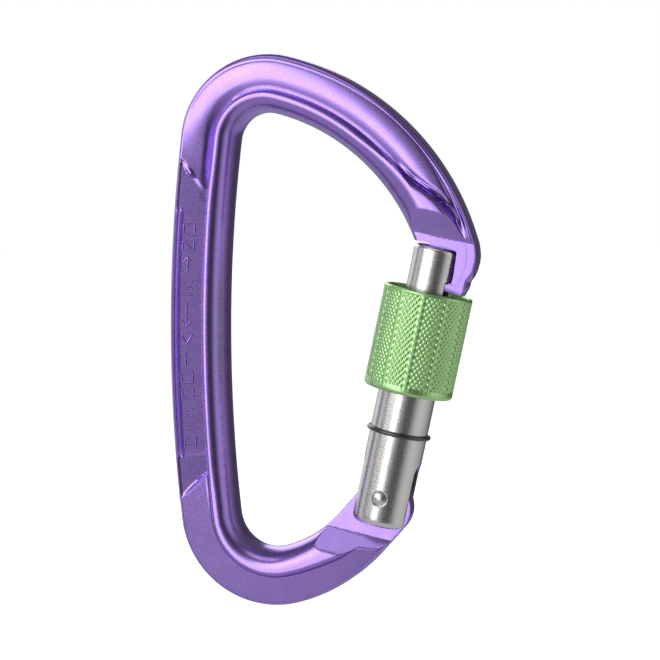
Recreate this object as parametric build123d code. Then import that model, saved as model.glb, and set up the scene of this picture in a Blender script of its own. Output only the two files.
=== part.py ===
from build123d import *
from math import asin, cos, degrees, radians, sin, sqrt
import os

# Screw-lock carabiner with a solid keylock gate, in millimetres.
# The frame lies in the XZ plane, thickness along Y, spine to -X, gate to +X, +Z up as it hangs.
# The outline is laid out about the frame's centre. Every part is then moved so that the origin
# is at the top basket, the point on which the carabiner hangs.

# Frame outline: tangent arcs (radius, turn in degrees) from the nose over the top, down the spine
# and round to the hinge end, then a straight run into the tail.
nose_start = (27.62, 17.1)
nose_heading = 107.1
outline_arcs = ((48.0, 58.6), (16.1, 97.4), (300.0, 13.5), (17.5, 98.9), (31.4, 33.0))
tail_run = 6.4
TOP_CORNER, SPINE = 1, 2

# Forged section: flange on the outside, shallow groove, thick rope bar on the inside.
section_width = 10.6
flange_edge = 2.1
flange_half = 3.4
pad_start = 1.0
pad_end = 4.7
pad_half = 3.8
groove_at = 6.0
groove_half = 3.2
bar_at = 7.6
bar_half = 5.1
marks_depth = 0.55
marks_start = 1.6
marks_width = 3.1
marks_turn = 8.0

# Gate line: it leans away from the spine, and its origin is the hinge rivet.
rivet_x = 11.2
rivet_z = -29.75
gate_lean = 12.1

# Nose, measured along (w) and across (u) the gate line.
nose_flat = 47.9
nose_slope = 0.5
nose_half = 2.7
shoulder = 46.4
web_half = 1.3
web_right = 4.9
web_top = 4.3
head_top = 39.9
nose_left = -1.5
nose_tip_reach = 38.8
nose_corner = (6.3, 38.5)
nose_below = (7.45, 42.2)
nose_widest = (7.8, 44.9)
nose_above = (7.3, 47.0)
nose_joins = (6.24, 49.25)
nose_inside = (-1.0, 50.5)
nose_root = (-6.0, 48.4)
nose_armpit = (-4.3, 46.4)
sleeve_room = 7.12
sleeve_room_top = 41.2
room_slope = (1.5, 3.5)

# Tail: a flat eye round the rivet, with a cam on top that lifts the plunger as the gate opens.
tail_flat = -7.4
tail_slope = 0.85
tail_half = 1.95
milled_run = 4.0
beyond = 14
eye_drop = 2.0
eye_radius = 5.45
eye_crown = 0.15
eye_inside = (-3.0, -2.0)
heel_foot = (-4.5, 0.5)
cam_reach = 3.6
cam_rise = 1.6
cam_from, cam_to, cam_end = -0.25, 0.5, 1.0
cam_notch = 2.6
rivet_radius = 1.2
eye_clearance = 0.05

# Gate barrel.
barrel_radius = 5.2
barrel_bottom = -5.2
bottom_round = 1.3
neck_radius = 4.2
neck_start = 31.0
barrel_top = 46.0
top_chamfer = 0.5
slot_half = 2.05
slot_top = 6.3
bore_radius = 3.0
bore_bottom = 4.6
bore_top = 27.0
nose_slot_half = 1.5
pocket_half = 2.9
pocket_floor = 37.8
pocket_top = 40.15
pocket_left = -1.8
thread_from = 20.5
thread_turns = 8
thread_pitch = 1.25
thread_depth = 0.35
thread_run_out = 0.2
thread_flank = 0.5
ring_groove_half = 0.42
ring_fit = 0.01
sink_depth = 0.5
bore_cone = 1.5

# Screw sleeve and its stop ring.
sleeve_bottom = 19.4
sleeve_top = 37.9
sleeve_radius = 8.05
sleeve_bore = 5.32
sleeve_mouth = 7.25
mouth_floor = 30.6
sleeve_thread_from = 20.8
lip_chamfer = 0.8
rim_round = 0.4
bore_edge = 0.3
mouth_drop = 0.8
ring_at = 11.9
ring_mean = 5.43
ring_wire = 0.41
ring_turn = 350
rivet_short = 0.35
rivet_dome = 2.2

# Plunger and spring inside the barrel.
plunger_tip = 3.82
plunger_stem = 1.5
collar_bottom = 7.6
collar_top = 9.0
collar_radius = 2.8
spigot_radius = 1.5
spigot_top = 12.0
spigot_chamfer = 0.4
spring_mean = 2.3
spring_wire = 0.3
spring_pitch = 1.8
spring_gap = 0.05

lean = radians(gate_lean)
across = Vector(cos(lean), 0, -sin(lean))
along = Vector(sin(lean), 0, cos(lean))
gate_origin = Vector(rivet_x, 0, rivet_z)
gate_plane = Plane(origin=gate_origin, x_dir=across, z_dir=(0, -1, 0))
side_plane = Plane(origin=gate_origin, x_dir=along, z_dir=across)
gate_axis = Axis(gate_origin, along)


def outline():
    """The frame's outer edge as a list of tangent edges in plan coordinates."""
    heading = radians(nose_heading)
    edges = []
    start, tangent = nose_start, (cos(heading), sin(heading))
    for radius, turn in outline_arcs:
        arc = JernArc(start, tangent, radius, turn)
        edges.append(arc)
        start, tangent = arc @ 1, arc % 1
    edges.append(Line(start, start + tangent * tail_run))
    return edges


def slab(points, half, plane=gate_plane):
    """A plate of straight edges, centred on the plane it is drawn on."""
    return extrude(plane * make_face(Polyline(*points, close=True)), half, both=True)


def face_of(lines):
    """A face inside a closed chain of lines and arcs."""
    return make_face(Wire([line.edge() for line in lines]))


def turned(points):
    """A round part turned about the gate line, from (radius, height) points."""
    return revolve(gate_plane * make_face(Polyline(*points, close=True)), gate_axis)


def mirrored(profile):
    """A closed face from the front half of a section, mirrored to the back."""
    return make_face(Wire(profile + [edge.mirror(Plane.XZ) for edge in profile]))


def section_plane(origin, tangent):
    """Section plane at a point of the outline: x runs inwards, z along the outline."""
    inward = Vector(-tangent.Y, 0, tangent.X)
    return Plane(origin=(origin.X, 0, origin.Y), x_dir=inward, z_dir=(tangent.X, 0, tangent.Y))


def forged_section():
    """Outer flange with a rounded edge, groove, and rope bar of half-oval section."""
    run, rise = bar_at - groove_at, bar_half - groove_half
    radius = (run ** 2 + rise ** 2) / (2 * rise)
    crown = bar_half - radius
    start = degrees(asin((groove_half - crown) / radius))
    profile = [
        Edge.make_line((0, 0), (0, flange_edge)),
        Edge.make_three_point_arc((0, flange_edge), (0.3, flange_half - 0.4), (pad_start, flange_half)),
        Edge.make_line((pad_start, flange_half), (pad_end, pad_half)),
        Edge.make_line((pad_end, pad_half), (groove_at, groove_half)),
        CenterArc((bar_at, crown), radius, 180 - start, start - 90),
        EllipticalCenterArc((bar_at, 0), section_width - bar_at, bar_half, 0, arc_size=90),
    ]
    return mirrored(profile)


def swept_bar():
    """The forged bar along the whole outline."""
    edges = outline()
    start = section_plane(edges[0] @ 0, edges[0] % 0)
    path = Plane.XZ * Wire(edges)
    return sweep(start * forged_section(), path=path)


def marks_recess(bar):
    """Shallow recess for the marks, along the spine on both faces."""
    spine = outline()[SPINE]
    centre = spine.arc_center
    spare = (outline_arcs[SPINE][1] - marks_turn) / 2
    outer = outline_arcs[SPINE][0] - marks_start
    inner = outer - marks_width
    heading = nose_heading + outline_arcs[0][1] + outline_arcs[TOP_CORNER][1] - 90 + spare
    ended = heading + marks_turn
    band = face_of([
        CenterArc(centre, outer, heading, marks_turn),
        Line(polar(centre, outer, ended), polar(centre, inner, ended)),
        CenterArc(centre, inner, heading, marks_turn),
        Line(polar(centre, inner, heading), polar(centre, outer, heading)),
    ])
    floor = flange_half - marks_depth
    front = extrude(Plane.XZ.offset(floor) * band, 3)
    return bar - front - front.mirror(Plane.XZ)


def polar(centre, radius, angle):
    """Point on a circle in plan coordinates, angle in degrees from +X."""
    return Vector(centre.X + radius * cos(radians(angle)), centre.Y + radius * sin(radians(angle)))


def milling(flat, half, slope, direction):
    """Both faces milled down to a flat plate, with a sloped run-out into the forging."""
    end = flat - 2 * direction * beyond
    run_out = flat + direction * milled_run
    profile = [(end, half), (flat, half), (run_out, half + slope * milled_run), (run_out, beyond),
               (end, beyond)]
    front = slab(profile, beyond, side_plane)
    return front + front.mirror(Plane.XZ)


def nose_plate():
    """Flat nose: shoulder, thin web that enters the barrel and the thicker head below it."""
    tip_left = (nose_left, sqrt(nose_tip_reach ** 2 - nose_left ** 2))
    tip_mid = (nose_tip_reach * sin(radians(3.5)), nose_tip_reach * cos(radians(3.5)))
    face = face_of([
        Line(nose_root, nose_armpit),
        Line(nose_armpit, (nose_left, shoulder)),
        Line((nose_left, shoulder), tip_left),
        ThreePointArc(tip_left, tip_mid, nose_corner),
        ThreePointArc(nose_corner, nose_below, nose_widest),
        ThreePointArc(nose_widest, nose_above, nose_joins),
        Line(nose_joins, nose_inside),
        Line(nose_inside, nose_root),
    ])
    plate = extrude(gate_plane * face, nose_half, both=True)
    left = nose_left - 1
    recess = Polyline((left, head_top), (web_right, head_top), (web_top, shoulder), (left, shoulder),
                      close=True)
    front = extrude(gate_plane.offset(web_half) * make_face(recess), 2 * nose_half)
    below = nose_tip_reach - 3
    opened = (sleeve_room + room_slope[0], sleeve_room_top + room_slope[1])
    room = turned([(sleeve_room, below), (sleeve_room, sleeve_room_top), opened,
                   (beyond, opened[1]), (beyond, below)])
    return plate - front - front.mirror(Plane.XZ) - room


def cam_point(angle, reach):
    """Point of the cam at an angle from the gate line, in gate coordinates."""
    return (-reach * sin(angle), reach * cos(angle))


def tail_plate():
    """Flat tail round the rivet, with the cam that drives the plunger."""
    side = radians(270 - gate_lean - nose_heading - sum(turn for _, turn in outline_arcs) + 90)
    foot = (eye_radius * cos(side), -eye_drop + eye_radius * sin(side))
    crown = (eye_radius * cos(eye_crown), -eye_drop + eye_radius * sin(eye_crown))
    notch = (cam_notch, -eye_drop + sqrt(eye_radius ** 2 - cam_notch ** 2))
    steps = [cam_from + (cam_to - cam_from) * i / 4 for i in range(5)]
    cam = [cam_point(a, cam_reach + cam_rise * a) for a in steps]
    high = cam_reach + cam_rise * cam_to
    heel = cam_point(cam_end, high)
    face = face_of([
        ThreePointArc(foot, crown, notch),
        Line(notch, cam[0]),
        Spline(*cam),
        ThreePointArc(cam[-1], cam_point((cam_to + cam_end) / 2, high), heel),
        Line(heel, heel_foot),
        Line(heel_foot, eye_inside),
        Line(eye_inside, foot),
    ])
    return extrude(gate_plane * face, tail_half, both=True)


def frame():
    """Forged bar, milled at both ends, with the nose and the tail grown from it."""
    bar = marks_recess(swept_bar())
    bar -= milling(nose_flat, nose_half, nose_slope, 1)
    low = shoulder - beyond
    bar -= slab([(-beyond, shoulder), (beyond, shoulder), (beyond, low), (-beyond, low)], beyond)
    bar -= milling(tail_flat, tail_half, tail_slope, -1)
    whole = bar + nose_plate() + tail_plate()
    return whole - cross_pin(rivet_radius + eye_clearance, beyond)


def cross_pin(radius, half):
    """Round bar along Y through the rivet's centre."""
    return extrude(gate_plane * Circle(radius), half, both=True)


def thread_grooves(radius, start, depth):
    """Row of V grooves at the thread's pitch, cut into (or out of) a cylinder."""
    grooves = []
    clear = radius + (thread_run_out if depth > 0 else -thread_run_out)
    for turn in range(thread_turns):
        height = start + turn * thread_pitch
        grooves.append(turned([(radius - depth, height), (clear, height - thread_flank),
                               (clear, height + thread_flank)]))
    return grooves


def gate_barrel():
    """Turned gate body: slotted for the tail, bored for the spring, keyed for the nose."""
    low = barrel_bottom + bottom_round
    half_turn = bottom_round * cos(radians(45))
    foot = barrel_radius - bottom_round
    profile = [
        Line((0, barrel_bottom), (foot, barrel_bottom)),
        ThreePointArc((foot, barrel_bottom), (foot + half_turn, low - half_turn), (barrel_radius, low)),
        Line((barrel_radius, low), (barrel_radius, neck_start - 1)),
        Line((barrel_radius, neck_start - 1), (neck_radius, neck_start)),
        Line((neck_radius, neck_start), (neck_radius, barrel_top - top_chamfer)),
        Line((neck_radius, barrel_top - top_chamfer), (neck_radius - top_chamfer, barrel_top)),
        Line((neck_radius - top_chamfer, barrel_top), (0, barrel_top)),
        Line((0, barrel_top), (0, barrel_bottom)),
    ]
    body = revolve(gate_plane * face_of(profile), gate_axis)
    straight = slot_top - slot_half
    under = barrel_bottom - 1
    body -= slab([(under, -slot_half), (straight, -slot_half), (straight, slot_half), (under, slot_half)],
                 beyond, side_plane)
    body -= extrude(side_plane * (Pos(straight, 0) * Circle(slot_half)), beyond, both=True)
    cone_from = bore_top - bore_cone
    body -= turned([(0, bore_bottom), (bore_radius, bore_bottom), (bore_radius, cone_from), (0, bore_top)])
    above = barrel_top + 2
    body -= slab([(pocket_left, pocket_top), (beyond, pocket_top), (beyond, above), (pocket_left, above)],
                 nose_slot_half)
    body -= slab([(pocket_left, pocket_floor), (beyond, pocket_floor), (beyond, pocket_top),
                  (pocket_left, pocket_top)], pocket_half)
    ring_seat = ring_mean - ring_wire - ring_fit
    low, high = ring_at - ring_groove_half, ring_at + ring_groove_half
    body -= turned([(ring_seat, low), (beyond, low), (beyond, high), (ring_seat, high)])
    body -= cross_pin(rivet_radius, beyond)
    cone = extrude(gate_plane.offset(barrel_radius - sink_depth) * Circle(rivet_radius), 1, taper=-45)
    body -= cone
    body -= cone.mirror(Plane.XZ)
    for groove in thread_grooves(barrel_radius, thread_from, thread_depth):
        body -= groove
    return body


def hinge_rivet():
    """Steel rivet with a low dome at each end, sitting in the barrel's countersinks."""
    shank = barrel_radius - rivet_short
    pin = cross_pin(rivet_radius, shank)
    rise = rivet_dome - sqrt(rivet_dome ** 2 - rivet_radius ** 2)
    for side in (-1, 1):
        centre = gate_origin + Vector(0, side * (shank + rise - rivet_dome), 0)
        cap = Pos(*centre) * Sphere(rivet_dome)
        pin += cap & extrude(gate_plane.offset(-side * shank) * Circle(rivet_radius), -side)
    return pin


def screw_sleeve():
    """Threaded locking sleeve with a wide mouth that closes over the nose."""
    body = turned([
        (sleeve_bore, sleeve_bottom + bore_edge),
        (sleeve_bore + bore_edge, sleeve_bottom),
        (sleeve_radius - lip_chamfer, sleeve_bottom),
        (sleeve_radius, sleeve_bottom + lip_chamfer),
        (sleeve_radius, sleeve_top - rim_round),
        (sleeve_radius - rim_round / 3, sleeve_top - rim_round / 3),
        (sleeve_radius - rim_round, sleeve_top),
        (sleeve_mouth, sleeve_top),
        (sleeve_mouth, mouth_floor),
        (sleeve_bore, mouth_floor - mouth_drop),
    ])
    for groove in thread_grooves(sleeve_bore, sleeve_thread_from, -thread_depth):
        body -= groove
    return body


def stop_ring():
    """Split wire ring snapped into its groove on the barrel, gap at the back."""
    centre = gate_origin + along * ring_at
    ring_plane = Plane(origin=centre, x_dir=(0, 1, 0), z_dir=along)
    path = ring_plane * CenterArc((0, 0), ring_mean, (360 - ring_turn) / 2, ring_turn)
    start = path @ 0
    wire = Plane(origin=start, z_dir=path % 0) * Circle(ring_wire)
    return sweep(wire, path=path)


def plunger():
    """Brass follower: domed stem on the cam, collar under the spring, spigot inside it."""
    middle = plunger_tip + plunger_stem
    side = plunger_stem * sin(radians(45))
    dome = ThreePointArc((0, plunger_tip), (side, middle - side), (plunger_stem, middle))
    steps = Polyline(
        (plunger_stem, middle),
        (plunger_stem, collar_bottom),
        (collar_radius, collar_bottom),
        (collar_radius, collar_top),
        (spigot_radius, collar_top),
        (spigot_radius, spigot_top - spigot_chamfer),
        (spigot_radius - spigot_chamfer, spigot_top),
        (0, spigot_top),
        (0, plunger_tip),
    )
    return revolve(gate_plane * make_face(Wire([dome.edge()] + list(steps.edges()))), gate_axis)


def gate_spring():
    """Compression spring between the plunger's collar and the end of the bore."""
    start = collar_top + spring_wire + spring_gap
    height = bore_top - bore_cone - spring_wire - start
    base = Plane(origin=gate_origin + along * start, x_dir=across, z_dir=along)
    path = base * Helix(spring_pitch, height, spring_mean)
    wire = Plane(origin=path @ 0, z_dir=path % 0) * Circle(spring_wire)
    return sweep(wire, path=path, is_frenet=True)


corner = outline()[TOP_CORNER].arc_center
hang_height = corner.Y + outline_arcs[TOP_CORNER][0] - section_width
to_origin = Location((-corner.X, 0, -hang_height))
parts = {
    "frame": frame,
    "gate_barrel": gate_barrel,
    "hinge_rivet": hinge_rivet,
    "gate_spring": gate_spring,
    "plunger": plunger,
    "screw_sleeve": screw_sleeve,
    "stop_ring": stop_ring,
}

os.makedirs("parts", exist_ok=True)
for node, build in parts.items():
    shape = build()
    solids = shape.solids()
    part = solids[0] if len(solids) == 1 else Compound(solids)
    export_step(part.moved(to_origin), f"parts/{node}.step")
    box = part.moved(to_origin).bounding_box()
    print(f"{node}: {len(solids)} solid, {part.volume:.1f} mm3, {box.min} to {box.max}")
print("hinge rivet at", Vector(rivet_x - corner.X, 0, rivet_z - hang_height))
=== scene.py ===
import math

import bmesh
import bpy
import numpy as np
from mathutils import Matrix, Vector


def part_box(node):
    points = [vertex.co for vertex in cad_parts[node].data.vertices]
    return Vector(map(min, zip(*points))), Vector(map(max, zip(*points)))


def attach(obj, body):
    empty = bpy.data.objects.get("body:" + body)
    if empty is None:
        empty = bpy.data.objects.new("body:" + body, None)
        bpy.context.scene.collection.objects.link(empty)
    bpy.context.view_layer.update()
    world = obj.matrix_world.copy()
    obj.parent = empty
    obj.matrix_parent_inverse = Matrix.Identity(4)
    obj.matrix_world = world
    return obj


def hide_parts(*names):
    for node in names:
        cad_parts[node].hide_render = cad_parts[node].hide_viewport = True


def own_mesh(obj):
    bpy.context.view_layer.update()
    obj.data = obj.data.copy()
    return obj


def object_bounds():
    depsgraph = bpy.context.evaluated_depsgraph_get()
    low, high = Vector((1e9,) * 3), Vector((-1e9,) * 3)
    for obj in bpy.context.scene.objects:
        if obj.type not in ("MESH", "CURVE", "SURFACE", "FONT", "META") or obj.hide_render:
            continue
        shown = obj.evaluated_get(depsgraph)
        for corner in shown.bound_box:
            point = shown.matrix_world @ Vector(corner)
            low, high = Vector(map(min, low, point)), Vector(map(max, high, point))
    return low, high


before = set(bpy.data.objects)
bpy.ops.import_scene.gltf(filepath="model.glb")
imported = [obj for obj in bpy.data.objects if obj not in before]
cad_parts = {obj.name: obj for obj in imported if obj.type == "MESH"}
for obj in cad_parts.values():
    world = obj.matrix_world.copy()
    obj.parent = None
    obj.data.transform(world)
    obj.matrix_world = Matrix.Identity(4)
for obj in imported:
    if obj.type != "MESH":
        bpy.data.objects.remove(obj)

cad_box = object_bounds()

# ------------------------------------------------------------
# Frame. One bar of forged 7075 aluminium: a flange outside, a groove, and a thick rope bar inside.
# The forging is tumbled, the nose and the tail are milled flat, and all of it is anodised purple.
# ------------------------------------------------------------
MM = 0.001

# Where the gate line starts (the hinge rivet) and how far it leans, in millimetres and degrees.
rivet_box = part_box("hinge_rivet")
hinge = np.array([(rivet_box[0].x + rivet_box[1].x) / 2, 0, (rivet_box[0].z + rivet_box[1].z) / 2]) / MM
lean = math.radians(12.1)
across = np.array([math.cos(lean), 0, -math.sin(lean)])
along = np.array([math.sin(lean), 0, math.cos(lean)])

# Outer edge as tangent arcs (radius, turn in degrees), from the nose over the top to the tail.
nose_edge = across * 6.235 + along * 49.25
nose_heading = 107.1
outline_arcs = ((48.0, 58.6), (16.1, 97.4), (300.0, 13.5), (17.5, 98.9), (31.4, 33.0))
tail_run = 6.4
section_width = 10.6
skin_inset = 0.005

# Forged section.
wall_half = 1.6
edge_round = 0.8
edge_spots = 12
flange_half = 3.35
draft = 0.10
bottom_draft = 0.13
pad_crown = 0.26
panel_tilt = 0.2
groove_half = 3.15
shoulder_run = 1.0
crest_flat = 0.1
rope_crest = 7.5
rope_half = 5.1

# Milled flats at the nose and the tail, measured along the gate line.
nose_flat, nose_half, nose_slope, nose_curve = 47.9, 2.7, 0.45, 0.03
tail_flat, tail_half, tail_slope = -7.4, 1.95, 0.7
eye_drop, eye_radius = 2.0, 5.45
eye_hole = 1.25
nose_reach = 38.8

# Keylock nose: a shoulder above the barrel's end, and a thin web over the head that the gate holds.
shoulder = 46.4
nose_left = -1.5
head_top = 39.9
web_half = 1.3
clear_of_all = 20


def place(u, y, w):
    """Row-frame position in millimetres of points given across, through and along the gate."""
    u, y, w = np.broadcast_arrays(u, y, w)
    return hinge + u[..., None] * across + w[..., None] * along + y[..., None] * np.array([0, 1, 0])


def outline_length():
    return sum(radius * math.radians(turn) for radius, turn in outline_arcs) + tail_run


def outline_at(t):
    """Point (x, z) and heading of the frame's outer edge at a distance t from the nose."""
    x, z = (hinge + nose_edge)[[0, 2]]
    heading = math.radians(nose_heading)
    for radius, turn in outline_arcs:
        step = min(max(t, 0), radius * math.radians(turn)) / radius
        x += radius * (math.sin(heading + step) - math.sin(heading))
        z -= radius * (math.cos(heading + step) - math.cos(heading))
        heading += step
        t -= radius * math.radians(turn)
        if t <= 0:
            break
    if t > 0:
        x += t * math.cos(heading)
        z += t * math.sin(heading)
    return x, z, heading


def ease(value, low, high):
    """0 below low, 1 above high, smooth between."""
    f = np.clip((value - low) / (high - low), 0, 1)
    return f * f * (3 - 2 * f)


def bump(distance, width):
    return np.exp(-(distance / width) ** 2)


def soft_min(a, b, k=0.08):
    return (a + b - np.sqrt((a - b) ** 2 + k * k)) / 2


def groove_line(t):
    """How far in from the outer edge the groove runs: it swings out to the edge at the nose."""
    at = (-5, 3.3, 6.8, 8.6, 10.5, 12.7, 14.6, 17.2, 20, 83, 92, 135, 150, 172, 180, 185, 190, 202)
    s = (1.2, 2.05, 2.56, 3.09, 3.92, 4.79, 5.87, 6.33, 6.38, 6.38, 6.1, 6.1, 6.1, 5.34, 5.12, 4.76,
         3.88, 3.2)
    return np.mean([np.interp(t + d, at, s) for d in (-2.4, -1.2, 0, 1.2, 2.4)])


def section_spots(g):
    """Distances in from the outer edge at which a station of the forging has its points."""
    if g < 4.5:
        outer = np.array([edge_round, 1.9, 3.15, 4.5]) * g / 4.5
    else:
        outer = np.array([edge_round, 1.9, g - 1.35, g])
    crest = min(g + shoulder_run, rope_crest - crest_flat)
    quarter = math.pi / 2 / edge_spots
    spots = [outer[0] * (1 - math.cos(quarter * i)) for i in range(edge_spots)]
    for low, high, count in zip(outer, outer[1:], (14, 10, 8)):
        spots += list(np.linspace(low, high, count, endpoint=False))
    spots += [g + (crest - g) * (1 - math.cos(quarter * i)) for i in range(edge_spots)]
    spots += list(np.linspace(crest, rope_crest, 5, endpoint=False))
    inside = section_width - rope_crest
    spots += [rope_crest + inside * math.sin(math.pi / 2 * i / 17) for i in range(18)]
    return np.array(spots)


def forged_half(t, s, g):
    """Half thickness of the forging at a distance t along the outline and s in from its edge."""
    near_nose = 1 - ease(t, 0, 20)
    top_run = ease(t, 7, 11) * (1 - ease(t, 66, 82))
    top_step = 81.4 + (s - 0.87) * 1.13
    bottom_step = 142.7 - (s - 1.41) * 0.76
    above = ease(bottom_step - t, -0.45, 0.45)
    tilt = np.interp(t, (58, 66, 76, 84), (draft, 0.0, -0.14, -panel_tilt))
    face = flange_half + (tilt * above + bottom_draft * (1 - above)) * (s - 1)
    face = face + pad_crown * np.clip(1 - ((s - 2.8) / 2.1) ** 2, 0, 1) * top_run

    # Spine: a flat lower panel between two slanting steps, the upper with a lens-shaped flat.
    panel = ease(t - top_step, -0.45, 0.45) * above
    face = face - 0.12 * panel * ease(s, 0.7, 1.0)
    lens = 0.6 * np.clip(1 - ((s - 2.1) / 1.4) ** 2, 0, 1)
    flat = ease(lens - abs(t - top_step), -0.05, 0.1)
    face = face + (flange_half - 0.18 - face) * flat

    # Fine crease beside the outer edge, which opens into a valley at the nose.
    crease_at = 0.95 + 0.45 * bump(t - 50, 16)
    crease_deep = (0.07 + 0.4 * near_nose) * ease(75 - t, 0, 6) * ease(t, 0, 4)
    face = face - crease_deep * bump(s - crease_at - 0.15 * near_nose, 0.13 + 0.5 * near_nose)

    # Lip, groove and lip that frame the marks on the spine.
    framed = ease(t, 90.3, 90.9) * ease(135.8 - t, 0, 0.5)
    lips = bump(s - 0.85, 0.13) + bump(s - 1.6, 0.13)
    face = face + framed * (0.12 * lips - 0.14 * bump(s - 1.2, 0.17))
    face = face - 0.12 * framed * ease(s, 1.6, 1.8)

    # Band that falls to the groove, a fine line in its bottom, and a thin rib beside it at the nose.
    band = 1.8
    on_spine = ease(t, 80, 90) * (1 - ease(t, 136, 146))
    face = face - 0.45 * (1 - ease(t, 80, 90)) * ease(s, g - band, g)
    at_bottom = ease(t, 141, 147)
    face = face - 0.05 * bump(s - g, 0.12) * (1 - 0.7 * on_spine) * (1 - at_bottom)
    rib_deep = 0.28 * ease(t, 2.8, 5) * (1 - ease(t, 15, 20))
    face = face + rib_deep * bump(s - g + 0.55, 0.28)

    # Rounded outer edge.
    corner = np.clip(s / edge_round, 0, 1)
    face = wall_half + (face - wall_half) * np.sqrt(1 - (1 - corner) ** 2)

    # Rope bar: a quarter-oval shoulder up to the crest, a flat crest, and a half-oval inner side.
    top = rope_crest - 0.3 * on_spine - 0.5 * ease(t, 148, 168) - 1.3 * (1 - ease(t, 12, 30))
    crest = np.minimum(g + shoulder_run, top - crest_flat)
    base = groove_half - 0.5 * on_spine + 0.45 * at_bottom
    rise = np.clip(1 - ((crest - s) / (crest - g)) ** 2, 0, 1) ** 0.75
    shoulder = base + (rope_half - base) * np.where(s < crest, rise, 1)
    inner = rope_half * np.sqrt(np.clip(1 - ((s - top) / (section_width - top)) ** 2, 0, 1))
    bar = np.where(s > top, inner, shoulder)
    return np.where(s < g, face, np.maximum(bar, np.where(s < g + 0.3, face, 0)))


def milled(half, t, u, w):
    """Half thickness after the nose and the tail are milled flat, with room left for the sleeve."""
    if t > 150:
        return soft_min(half, tail_half + tail_slope * np.clip(tail_flat - w, 0, None))
    if t > 40:
        return half
    run = np.clip(w - nose_flat, 0, None)
    half = soft_min(half, nose_half + nose_slope * run + nose_curve * run ** 2)
    taper_from = 40.1
    half = np.where(w < taper_from, soft_min(half, nose_half - 0.1 * (taper_from - w)), half)
    sleeve_room = 7.08 + 0.5 * np.clip(w - 41.2, 0, None)
    room = np.sqrt(np.clip(sleeve_room ** 2 - u ** 2, 0.04, None))
    return np.where(w < 50, soft_min(half, room), half)


def nose_outer(f):
    """Outer edge of the nose below the outline's start, as (u, w) for f from 0 to 1."""
    w = np.interp(f, (0, 0.21, 0.41, 0.66, 1), (49.25, 47.0, 44.9, 42.2, 38.3))
    u = np.interp(f, (0, 0.1, 0.21, 0.31, 0.41, 0.54, 0.66, 0.83, 1),
                  (6.24, 6.86, 7.3, 7.61, 7.72, 7.64, 7.42, 6.95, 6.3))
    return u, w


def nose_stations(count=46):
    """Stations from the tip of the nose up to the outline's start, as outer edge to inner edge."""
    stations = []
    fractions = np.linspace(0, 1, 61)
    for i in range(count):
        f = 1 - i / count
        outer = nose_outer(f)
        inner = (-3.0, 44.1 - (44.1 - 38.68) * f)
        u = outer[0] + (inner[0] - outer[0]) * fractions
        w = outer[1] + (inner[1] - outer[1]) * fractions
        arc = np.sqrt(nose_reach ** 2 - u ** 2)
        ends = arc[0] + (arc[-1] - arc[0]) * fractions
        w = w + f ** 4 * (arc - ends)
        stations.append((0.0, fractions * section_width, u, w))
    return stations


def tail_stations():
    """Stations fanned round the eye of the tail and over the cam that lifts the plunger."""
    edge = []
    for angle in np.linspace(-29.4, 58, 30):
        a = math.radians(angle)
        edge.append((eye_radius * math.cos(a), -eye_drop + eye_radius * math.sin(a)))
    edge.append((2.6, 2.79))
    edge += [(2.6 - 1.81 * f, 2.79 + 0.31 * f) for f in (0.33, 0.66)]
    for a in np.linspace(-0.25, 1.0, 16):
        reach = 3.6 + 1.6 * min(a, 0.5)
        edge.append((-reach * math.sin(a), reach * math.cos(a)))
    count = len(edge)
    fractions = np.linspace(0, 1, 61)
    stations = []
    for i, (u, w) in enumerate(edge[1:], 1):
        f = (i / (count - 1)) ** 2
        end_u, end_w = -4.48 + 0.35 * f, 0.52 + 1.3 * f
        stations.append((outline_length(), fractions * section_width, u + (end_u - u) * fractions,
                         w + (end_w - w) * fractions))
    return stations


def frame_rings():
    """All stations of the frame as front half-thickness rings: positions (x, z) and half thickness."""
    rings = []

    def add_ring(t, s, u, w, g):
        half = milled(forged_half(t, s, g), t, u, w)
        half[-1] = 0
        point = place(u, 0, w)
        rings.append((point[:, 0], point[:, 2], half))

    def end_ring(station):
        t, s, u, w = station
        g = float(groove_line(t))
        spots = section_spots(g)
        add_ring(t, spots, np.interp(spots, s, u), np.interp(spots, s, w), g)

    for station in nose_stations():
        end_ring(station)
    t = 0.0
    while t < outline_length():
        x, z, heading = outline_at(t)
        g = float(groove_line(t))
        spots = section_spots(g)
        px = x - math.sin(heading) * (spots + skin_inset) - hinge[0]
        pz = z + math.cos(heading) * (spots + skin_inset) - hinge[2]
        u = px * across[0] + pz * across[2]
        w = px * along[0] + pz * along[2]
        add_ring(t, spots, u, w, g)
        fine = t < 22 or t > 180 or 80 < t < 86 or 89.8 < t < 91.5 or 135 < t < 144
        t += 0.2 if fine else 0.7
    for station in tail_stations():
        end_ring(station)
    return rings


def make_piece(name, points, faces):
    """A mesh object at the origin from points in millimetres."""
    mesh = bpy.data.meshes.new(name)
    mesh.from_pydata((np.asarray(points) * MM).tolist(), [], faces)
    mesh.update()
    piece = bpy.data.objects.new(name, mesh)
    bpy.context.collection.objects.link(piece)
    return piece


def face_outwards(piece, merge=0.0):
    form = bmesh.new()
    form.from_mesh(piece.data)
    if merge:
        bmesh.ops.remove_doubles(form, verts=form.verts, dist=merge)
    bmesh.ops.recalc_face_normals(form, faces=form.faces)
    form.to_mesh(piece.data)
    form.free()


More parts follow.
